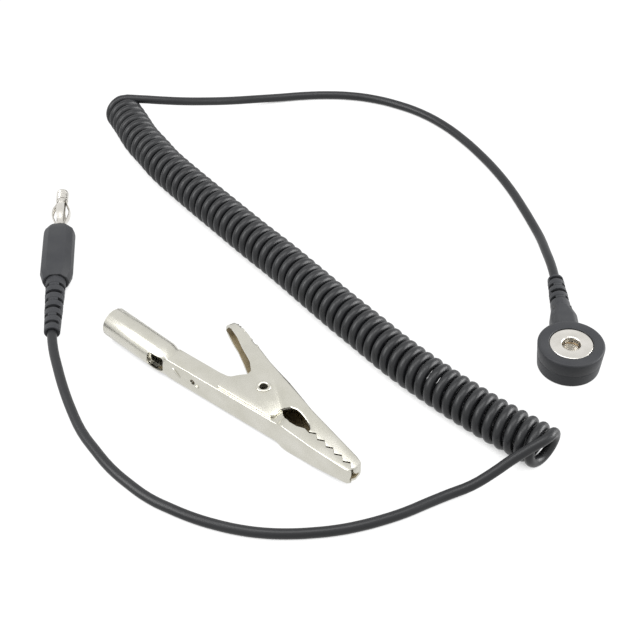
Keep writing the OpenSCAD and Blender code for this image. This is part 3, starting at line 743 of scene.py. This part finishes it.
def plug_pin():
    """Turned pin: solder cup, flange, bare collar, neck under the cage, nose with three grooves."""
    core_end = GRIP_END - CORE_SETBACK
    rear = core_end - 7.8
    cup_r, cup_end = 0.7, rear + 2.5
    shank_r, collar_r = 1.2, 1.4
    groove, groove_pitch = 0.16, 0.85
    tip, round_r = NOSE_START + NOSE_L, 0.55
    profile = [
        (0, cup_end), (cup_r, cup_end), (cup_r, rear), (shank_r, rear), (shank_r, core_end),
        (PIN_FLANGE_R, core_end), (PIN_FLANGE_R, GRIP_END), (collar_r, GRIP_END),
        (collar_r, COLLAR_END - 0.1), (collar_r - 0.1, COLLAR_END), (PIN_NECK_R, COLLAR_END),
        (PIN_NECK_R, NOSE_START), (NOSE_R - 0.12, NOSE_START), (NOSE_R, NOSE_START + 0.12),
    ]
    for k in range(3):
        z = NOSE_START + 0.7 + groove_pitch * k
        profile += [(NOSE_R, z), (NOSE_R - groove, z + 0.16), (NOSE_R - groove, z + 0.26)]
        profile += [(NOSE_R, z + 0.42)]
    profile += arc((NOSE_R - round_r, tip - round_r), round_r, 0, 60, 4)
    profile += [(round_r, tip), (0, tip)]
    return piece(
        lathe(profile, 64, False), "plug_pin_turned", NICKEL, "cord_set", PLUG,
        ["plug_pin"],
    )


def plug_cage():
    """Cage of four bowed leaves between two rings."""
    ring = PIN_NECK_R + 0.05 + LEAF_T
    ring_l = 0.9
    steps = 16
    bow_l = CAGE_L - 2 * ring_l
    bow_start = CAGE_START + ring_l
    bow = []
    for k in range(steps + 1):
        rise = math.sin(math.pi * k / steps) ** 1.3
        bow.append((ring + (CAGE_R - ring) * rise, bow_start + bow_l * k / steps))
    outer = [(ring, CAGE_START)] + bow + [(ring, CAGE_END)]
    inner = [(x - LEAF_T, z) for x, z in reversed(outer)]
    bm = lathe(outer + inner, 96)
    # Windows between the leaves: wedges that widen outwards, so that a leaf keeps its width
    cutter = bmesh.new()
    start, reach = 0.4, 3.2
    half = ring * math.pi / 4 - LEAF_W / 2
    widening = (CAGE_R * math.pi / 4 - LEAF_W / 2) / half * 1.35
    for k in range(4):
        turn = Matrix.Rotation(math.radians(45 + 90 * k), 4, "Z")
        wedge = bmesh.ops.create_cube(cutter, size=1)["verts"]
        bmesh.ops.scale(cutter, vec=(reach, 2 * half, bow_l), verts=wedge)
        centre = (reach / 2 + start, 0, CAGE_START + ring_l + bow_l / 2)
        bmesh.ops.translate(cutter, vec=centre, verts=wedge)
        for vert in wedge:
            if vert.co.x > 2:
                vert.co.y *= widening
        bmesh.ops.transform(cutter, matrix=turn, verts=wedge)
    bm = combine(bm, cutter, "DIFFERENCE")
    tidy(bm)
    return piece(
        bm, "plug_cage_rolled", NICKEL, "cage", PLUG, ["plug_spring_cage"],
    )


relief = plug_relief()
grip = plug_grip()
pin = plug_pin()
cage = plug_cage()

# ---------- alligator clip ----------

clip_low, clip_high = node_box("clip_upper_jaw")
# Side view in U along the clip and V toward the thumb tab, half widths from its middle
SHEET_T = 0.6
UPPER_HALF = (clip_high.z - clip_low.z) / 2
LOWER_HALF = UPPER_HALF - SHEET_T - 0.1
TIP_HALF = 2.0
TIP_U = 29.4
FLOOR_V = -6.5
SIDE_V = -2.1
CHANNEL_START = -22.8
BARREL_FRONT = Vector((-25.8, -4))
BARREL_TILT = math.radians(4.3)
BARREL_L = 17.8
BARREL_R = 3.65
BARREL_BORE_R = 2.2
# Inner shell of the barrel, let into the rolled sheet so that no gap shows
SLEEVE_R = BARREL_R - 0.3
# Half the angle left open along the barrel's seam
SEAM = 4
FLARE_START = 8.5
FLARE_END = 10.8
TOOTH_ROWS = 5
TOOTH_PITCH = 2.6
TOOTH_H = 0.9
TOOTH_START = Vector((16.1, -3.6))
TOOTH_SLOPE = math.radians(-8)
# How far the lower row stands off the upper one, square to the teeth's rear flanks
TOOTH_GAP = Vector((0.62, -0.78)) * 0.38
# The thumb tab narrows, is serrated across, and ends in a half round
TAB_PINCH = 0.22
TAB_PINCH_START = -8
TAB_PINCH_L = 5
TAB_ROUND_START = -16.9
TAB_ROUND_L = 4.9
TAB_UP = Vector((0.38, 0.92, 0))
SERRATION_START = -12.2
SERRATION_STEP = 0.5
SERRATION_H = 0.3
# In the floor: the rounded slot that the plug's cage shows in, and a small round hole
LOCK_SLOT = (4.6, 4, 3.6)
LOCK_SLOT_ROUND = 0.8
LOCK_SLOT_AT = (-26.4, FLOOR_V - 0.6, 0.5)
FLOOR_HOLE_R = 0.7
FLOOR_HOLE_AT = (-15.4, FLOOR_V, 0.4)

EYE_TOP = [
    (15.9, -3.3), (15, -2.5), (13.8, -1.9), (12.6, -1.4), (11.4, -1), (10.2, -0.8), (8.6, -1.1),
    (7.8, -2),
]
EYE_BOTTOM = [(7.9, -3), (9.4, -4), (11.2, -4.6), (13, -4.5), (14.6, -3.9)]
RIDGE = [
    (29.2, -3), (27.8, -2.4), (12.4, 1.5), (4, 4.4), (-4, 7.2), (-9.4, 9.4), (-15.4, 11.9),
    (-19.9, 13.3),
]
SKIRT = [
    (7.4, -3), (7.4, -5.2), (6.8, -5.8), (-8.2, -5.8), (-8.8, -5.2), (-8.8, -4), (-7.9, -2.3),
    (-6.5, -0.4), (-5.3, 0.8), (-5.4, 2),
]
TAB_EDGE = [(-6.4, 3.1), (-8, 4.6), (-10.4, 6), (-16, 9.5), (-19.5, 11.1), (-21.6, 11.9)]


def teeth(shift):
    """Zigzag of the teeth from the eye to the tip, moved by shift."""
    along = Vector((math.cos(TOOTH_SLOPE), math.sin(TOOTH_SLOPE)))
    across = Vector((-along.y, along.x))
    points = []
    for i in range(2 * TOOTH_ROWS + 1):
        side = -TOOTH_H / 2 if i % 2 == 0 else TOOTH_H / 2
        points.append(tuple(TOOTH_START + along * i * TOOTH_PITCH / 2 + across * side + shift))
    return points


def ease(t):
    """From nought to one with a soft start and end."""
    t = min(max(t, 0), 1)
    return t * t * (3 - 2 * t)


def front_taper(u):
    """Half width outside, from the pivot to the tips."""
    return UPPER_HALF + (TIP_HALF - UPPER_HALF) * max(0, u - FLARE_END) / (TIP_U - FLARE_END)


def upper_half_width(u):
    """Half width of the upper jaw: narrows to the tips and rounds off at the thumb tab's end."""
    pinched = 1 - TAB_PINCH * ease((TAB_PINCH_START - u) / TAB_PINCH_L)
    rounded = math.sqrt(max(0.1, 1 - (max(0, TAB_ROUND_START - u) / TAB_ROUND_L) ** 2))
    return front_taper(u) * pinched * rounded


def lower_half_width(u):
    """Half width of the lower jaw: inside the upper one at the pivot, flush with it in front."""
    flare = ease((u - FLARE_START) / (FLARE_END - FLARE_START))
    return LOWER_HALF + (UPPER_HALF - LOWER_HALF) * flare + front_taper(u) - UPPER_HALF


def near_line(point, line, distance=0.02):
    """Does a point in the side view lie on a line of points?"""
    p = Vector((point.x, point.y))
    for a, b in zip(line, line[1:]):
        a, b = Vector(a), Vector(b)
        t = min(max((p - a).dot(b - a) / (b - a).length_squared, 0), 1)
        if (p - a - t * (b - a)).length < distance:
            return True
    return False


def outwards(bm):
    """Turns a surface's faces so that its upper plate faces up."""
    bmesh.ops.recalc_face_normals(bm, faces=bm.faces)
    plate = max(bm.faces, key=lambda f: f.calc_center_median().z)
    if plate.normal.z < 0:
        bmesh.ops.reverse_faces(bm, faces=bm.faces)


def split(bm, at, across):
    """Splits every face where it crosses a plane."""
    everything = bm.verts[:] + bm.edges[:] + bm.faces[:]
    bmesh.ops.bisect_plane(bm, geom=everything, plane_co=at, plane_no=across)


def folded_sheet(outline, fold, half_width, cuts, bend, bend_steps, bend_end=99):
    """Channel folded from one sheet, as a surface: two alike side plates, joined along the fold."""
    bm = bmesh.new()
    bm.faces.new([bm.verts.new((u, v, 0)) for u, v in outline])
    for u in cuts:
        split(bm, (u, 0, 0), (1, 0, 0))
    ridge = [
        e for e in bm.edges if e.is_boundary and all(near_line(v.co, fold) for v in e.verts)
    ]
    for vert in bm.verts:
        vert.co.z = half_width(vert.co.x)
    extruded = bmesh.ops.extrude_edge_only(bm, edges=ridge)["geom"]
    for vert in (g for g in extruded if isinstance(g, bmesh.types.BMVert)):
        vert.co.z = 0
    bends = [e for e in ridge if max(v.co.x for v in e.verts) < bend_end]
    bevel(bm, bends, bend, bend_steps)
    everything = bm.verts[:] + bm.edges[:] + bm.faces[:]
    bmesh.ops.mirror(bm, geom=everything, merge_dist=0.001, axis="Z")
    bmesh.ops.remove_doubles(bm, verts=bm.verts, dist=0.001)
    outwards(bm)
    return bm


def with_wall(bm, thickness):
    """Gives a surface a wall on its inner side, whose faces take the second material."""
    made = as_object(bm, "sheet", 2)
    modifier = made.modifiers.new("wall", "SOLIDIFY")
    modifier.thickness = thickness
    modifier.offset = -1
    modifier.use_even_offset = True
    modifier.use_quality_normals = True
    modifier.material_offset = 1
    return evaluated(made)


def coin(bm, line, half_width, width):
    """Wide bevel pressed round an opening, on the outer side of both plates."""
    near = 0.05

    def on_opening(vert):
        outside = abs(abs(vert.co.z) - half_width(vert.co.x)) < near
        return outside and near_line(vert.co, line, near)

    edges = [
        e for e in bm.edges
        if len(e.link_faces) == 2 and e.calc_face_angle() > 0.7 and all(map(on_opening, e.verts))
    ]
    bevel(bm, edges, width, 3, 0.6)


def through_hole(radius):
    """Cutter for a hole across the clip at the rivet."""
    reach = 9
    return lathe([(0, -reach), (radius, -reach), (radius, reach), (0, reach)], 48)


def bead(size, place):
    """Closed ellipsoid."""
    bm = bmesh.new()
    shape = place @ Matrix.Diagonal(Vector(size)).to_4x4()
    bmesh.ops.create_uvsphere(bm, u_segments=24, v_segments=12, radius=0.5, matrix=shape)
    return bm


def upper_jaw():
    """Jaw with the thumb tab: folded along its ridge, coined round the eye, rounded at the nose."""
    upper_teeth = teeth(Vector((0, 0)))
    outline = upper_teeth[::-1] + EYE_TOP + SKIRT + TAB_EDGE + RIDGE[::-1] + [(TIP_U, -5)]
    serrations = [SERRATION_START - SERRATION_STEP * k for k in range(15)]
    cuts = [FLARE_END, -8, -9, -10, -11] + serrations + [-20.1, -20.6, -21]
    bm = folded_sheet(outline, RIDGE + [TAB_EDGE[-1]], upper_half_width, cuts, 1.0, 5)
    for vert in bm.verts:
        for k, u in enumerate(serrations):
            on_top = abs(vert.co.z) < upper_half_width(u) - 0.15
            if k % 2 and abs(vert.co.x - u) < 0.05 and on_top:
                vert.co += TAB_UP * SERRATION_H
    bm = with_wall(bm, SHEET_T)
    coin(bm, EYE_TOP, upper_half_width, 0.42)
    soften(bm, CRISP, 60)
    nose = bead((1.5, 2, 3.6), Matrix.Translation((28.5, -4, 0)))
    bm = combine(bm, nose, "UNION")
    bm = combine(bm, through_hole(1.35), "DIFFERENCE")
    tidy(bm)
    # The sheet's inner faces take the darker inside finish, with the folds' shade painted into it
    return piece(
        bm, "clip_upper_jaw_stamped", CLIP_NICKEL, "clip_jaw", CLIP,
        ["clip_upper_jaw"], CLIP_INSIDE_SHADED,
    )


def in_order(edges):
    """Vertices of an open chain of edges, from one end to the other."""
    links = {}
    for e in edges:
        for v in e.verts:
            links.setdefault(v, []).append(e)
    ordered = [min((v for v in links if len(links[v]) == 1), key=lambda v: v.co.z)]
    used = set()
    while len(ordered) < len(links):
        e = next(e for e in links[ordered[-1]] if e not in used)
        used.add(e)
        ordered.append(e.other_vert(ordered[-1]))
    return ordered


def roll_barrel(bm):
    """Rolls the rear of the channel on into a round barrel, its seam opposite the floor."""
    edges = [
        e for e in bm.edges
        if e.is_boundary and all(abs(v.co.x - CHANNEL_START) < 0.01 for v in e.verts)
    ]
    verts = in_order(edges)
    reach = [0.0]
    for a, b in zip(verts, verts[1:]):
        reach.append(reach[-1] + (b.co - a.co).length)
    turns = [math.radians(90 + SEAM + (360 - 2 * SEAM) * at / reach[-1]) for at in reach]
    rings = [Vector((math.sin(t), math.cos(t))) * BARREL_R for t in turns]
    flats = [v.co.copy() for v in verts]
    back = Vector((-math.cos(BARREL_TILT), math.sin(BARREL_TILT)))
    out = Vector((math.sin(BARREL_TILT), math.cos(BARREL_TILT)))
    # Place along the barrel, share of the way from the channel's shape to the round one
    stations = [
        (-2.6, 0.1), (-2.1, 0.28), (-1.6, 0.47), (-1.1, 0.65), (-0.6, 0.8), (-0.1, 0.91),
        (0.4, 0.97), (1, 1), (4, 1), (8, 1), (BARREL_L, 1),
    ]
    for along, share in stations:
        made = bmesh.ops.extrude_edge_only(bm, edges=edges)["geom"]
        edges = [g for g in made if isinstance(g, bmesh.types.BMEdge)]
        fresh = [g for g in made if isinstance(g, bmesh.types.BMVert)]
        verts = [min(fresh, key=lambda g: (g.co - v.co).length) for v in verts]
        for vert, flat, ring in zip(verts, flats, rings):
            spot = BARREL_FRONT + back * along + out * ring.x
            level = Vector((BARREL_FRONT.x - along, flat.y))
            plan = level.lerp(spot, share)
            vert.co = Vector((plan.x, plan.y, flat.z + (ring.y - flat.z) * share))
    return edges


def barrel_sleeve():
    """Inner shell of the barrel, from its rear end to just behind the channel."""
    start = 0.3
    sleeve = lathe([
        (BARREL_BORE_R, start), (SLEEVE_R, start), (SLEEVE_R, BARREL_L), (BARREL_BORE_R, BARREL_L),
    ])
    back = Vector((-math.cos(BARREL_TILT), math.sin(BARREL_TILT)))
    rear = BARREL_FRONT + BARREL_L * back
    stand = Matrix.Rotation(-BARREL_TILT, 4, "Z") @ Matrix.Rotation(math.pi / 2, 4, "Y")
    place = Matrix.Translation((rear.x, rear.y, 0)) @ stand
    bmesh.ops.transform(sleeve, matrix=place, verts=sleeve.verts)
    return sleeve


def with_lock_slot(bm):
    """Cuts the rounded slot at the barrel's front."""
    slot = bmesh.new()
    place = Matrix.Translation(LOCK_SLOT_AT) @ Matrix.Diagonal(Vector(LOCK_SLOT)).to_4x4()
    bmesh.ops.create_cube(slot, size=1, matrix=place)
    soften(slot, LOCK_SLOT_ROUND, 40, 3)
    return combine(bm, slot, "DIFFERENCE")


def lower_jaw():
    """Jaw with ears and floor: its channel is rolled on into the barrel that takes the plug."""
    floor = [
        (CHANNEL_START, FLOOR_V), (9, FLOOR_V), (12, FLOOR_V - 0.4), (19.5, FLOOR_V - 0.7),
        (27.6, FLOOR_V - 0.6), (28.6, FLOOR_V - 0.45), (29, FLOOR_V),
    ]
    ear = arc((0, 0), 3.4, -20, 150, 10)
    shoulder = [(-5.6, 0.3), (-7.6, -1.2), (-9, -1.9), (-11, SIDE_V), (CHANNEL_START, SIDE_V)]
    rear_wall = [(CHANNEL_START, SIDE_V + (FLOOR_V - SIDE_V) * k / 5) for k in range(1, 5)]
    outline = floor + teeth(TOOTH_GAP)[::-1] + EYE_BOTTOM[::-1] + [(6.6, -1.8)]
    outline += ear + shoulder + rear_wall
    cuts = [FLARE_START + (FLARE_END - FLARE_START) * k / 5 for k in range(6)]
    bm = folded_sheet(outline, floor, lower_half_width, cuts, 0.85, 4, 27.7)
    for z in (-2, -1.3, -0.65, 0.65, 1.3, 2):
        split(bm, (0, 0, z), (0, 0, 1))
    roll_barrel(bm)
    outwards(bm)
    bm = with_wall(bm, SHEET_T)
    coin(bm, EYE_BOTTOM, lower_half_width, 0.4)
    soften(bm, CRISP, 60)
    tidy(bm)
    bm = with_lock_slot(bm)
    sleeve = with_lock_slot(barrel_sleeve())
    bore = lathe([(0, -2), (FLOOR_HOLE_R, -2), (FLOOR_HOLE_R, 2), (0, 2)], 24)
    upright = Matrix.Translation(FLOOR_HOLE_AT) @ Matrix.Rotation(math.pi / 2, 4, "X")
    bmesh.ops.transform(bore, matrix=upright, verts=bore.verts)
    bm = combine(bm, bore, "DIFFERENCE")
    askew = Matrix.Rotation(0.7, 4, "Y")
    rib = bead((3, 0.8, 0.7), Matrix.Translation((-20.3, FLOOR_V + 0.02, 0.3)) @ askew)
    burr = bead((1.1, 0.7, 0.8), Matrix.Translation((-14.1, FLOOR_V, -0.3)))
    nose = bead((1.6, 1.5, 3.6), Matrix.Translation((28.2, -6.2, 0)))
    bm = combine(bm, through_hole(1.32), "DIFFERENCE")
    tidy(bm)
    for other in (sleeve, rib, burr, nose):
        join(bm, other)
    # The sheet's inner faces take the darker inside finish, with the folds' shade painted into it
    return piece(
        bm, "clip_lower_jaw_stamped", CLIP_NICKEL, "clip_base", CLIP,
        ["clip_lower_jaw"], CLIP_INSIDE_SHADED,
    )


def rivet():
    """Tubular rivet, its ends rolled over into rings."""
    half = clip_pivot.z
    bore, shank, ring = 0.95, 1.3, 1.7
    inner, outer = 0.3, 0.2
    top = [(bore, 0)] + arc((bore + inner, half - inner), inner, 180, 90, 4)
    top += arc((ring - outer, half - outer), outer, 90, 0, 4) + [(shank, half - 0.22), (shank, 0)]
    bottom = [(x, -z) for x, z in reversed(top[1:-1])]
    return piece(
        lathe(top + bottom, 64), "clip_rivet_rolled", CLIP_NICKEL, "clip_base", CLIP,
        ["clip_rivet"],
    )


upper_jaw()
lower_jaw()
rivet()

# ---------- finishes of the CAD nodes that stay ----------

NODE_FINISH = {
    "snap_inner_tray": POLYPROPYLENE,
    "snap_spring": BRONZE,
    "snap_eyelet": NICKEL,
    "snap_terminal": TIN,
    "snap_resistor": ENAMEL,
    "snap_resistor_leads": TIN,
    "snap_splice": TIN,
    "snap_ferrule": TIN,
    "snap_conductor": TIN,
    "plug_inner_mould": POLYPROPYLENE,
    "plug_ferrule": TIN,
    "plug_conductor": TIN,
    "clip_spring": SPRING_STEEL,
    "clip_spring_arm": SPRING_STEEL,
}

for name, material in NODE_FINISH.items():
    node = frame["nodes"][name]
    node.data.materials.clear()
    node.data.materials.append(material)

# ---------- the cord's finish and body, in place of the CAD cord ---

cord.data.materials.append(JACKET)
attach(cord, "cord_set")
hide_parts("cord_snap_lead", "cord_coil", "cord_plug_lead")

# ---------- surface and light ----------


def seen_rays(tree):
    """One for what the camera and reflections see, nought for what lights the scene."""
    rays = add(tree, "ShaderNodeLightPath").outputs
    either = {0: rays["Is Camera Ray"], 1: rays["Is Glossy Ray"]}
    return add(tree, "ShaderNodeMath", either, operation="MAXIMUM").outputs["Value"]


def make_floor():
    """White table. What shows of it is even white, with painted shadow close under and inside things."""
    even_share = 0.8
    shadow_reach = 12
    bm = bmesh.new()
    bmesh.ops.create_grid(bm, x_segments=1, y_segments=1, size=3)
    floor = as_object(bm, "floor")
    material = bpy.data.materials.new("white_table")
    material.use_nodes = True
    tree = material.node_tree
    tree.nodes.clear()
    even = add(tree, "ShaderNodeMath", {0: seen_rays(tree), 1: even_share}, operation="MULTIPLY")
    # Painted shadow: the white that shows dims where things close over the table
    sky = add(tree, "ShaderNodeAmbientOcclusion", {"Distance": shadow_reach * MM}, samples=8)
    level = spread(tree, sky.outputs["AO"], 0.05, 1.28, 0.0, 0.35)
    white = add(tree, "ShaderNodeEmission", {"Color": srgb("#ffffff"), "Strength": level})
    matt = add(tree, "ShaderNodeBsdfDiffuse", {"Color": srgb("#787878")})
    both = add(tree, "ShaderNodeMixShader", {0: even.outputs["Value"]})
    tree.links.new(matt.outputs["BSDF"], both.inputs[1])
    tree.links.new(white.outputs["Emission"], both.inputs[2])
    add(tree, "ShaderNodeOutputMaterial", {"Surface": both.outputs["Shader"]})
    floor.data.materials.append(material)


def make_lamp(name, at, aim, size, power):
    """Soft box, in millimetres and watts."""
    data = bpy.data.lights.new(name, "AREA")
    data.shape = "RECTANGLE"
    data.size, data.size_y = size[0] * MM, size[1] * MM
    data.energy = power
    lamp = bpy.data.objects.new(name, data)
    lamp.location = Vector(at) * MM
    lamp.rotation_euler = (Vector(aim) - Vector(at)).to_track_quat("-Z", "Y").to_euler()
    SCENE.collection.objects.link(lamp)


def make_world():
    """White surroundings, dimmer as a light than as seen in the metal."""
    world = bpy.data.worlds.new("studio")
    world.use_nodes = True
    tree = world.node_tree
    level = spread(tree, seen_rays(tree), 0.35, 1.0)
    background = tree.nodes["Background"]
    background.inputs["Color"].default_value = srgb("#ffffff")
    tree.links.new(level, background.inputs["Strength"])
    SCENE.world = world


make_floor()
make_lamp("softbox_left", (-541, -120, 432), (-70, -10, 0), (400, 400), 3.1)
make_lamp("softbox_above", (-60, -20, 700), (-60, 20, 0), (560, 360), 2.4)
make_lamp("softbox_right", (440, 100, 160), (-60, 20, 0), (400, 300), 3.2)
make_world()

SCENE.view_settings.view_transform = "Standard"
